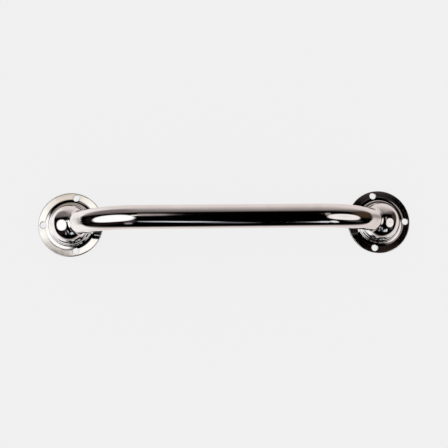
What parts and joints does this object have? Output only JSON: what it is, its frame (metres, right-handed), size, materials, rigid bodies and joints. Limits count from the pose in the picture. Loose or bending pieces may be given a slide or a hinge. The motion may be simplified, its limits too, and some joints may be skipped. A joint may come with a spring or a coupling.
{
  "type": "grab rail",
  "caption": "Polished stainless boat grab rail: a bent round tube between two domed round flanges with screw holes.",
  "frame": {"origin": "on the mounting plane, half way between the two flanges", "axes": "+Z away from the mounting surface, +X along the bar, +Y across the bar"},
  "size_m": [0.3676, 0.0624, 0.0611],
  "materials": {
    "tube_polish": "polished",
    "flange_polish": "polished",
    "neck_polish": "polished",
    "weld_raw": "satin"
  },
  "bodies": {
    "root": {"rail_tube": "tube_polish", "left_flange": "flange_polish", "right_flange": "flange_polish", "left_neck_weld": "neck_polish", "right_neck_weld": "neck_polish", "left_root_weld": "weld_raw", "right_root_weld": "weld_raw"}
  },
  "joints": []
}
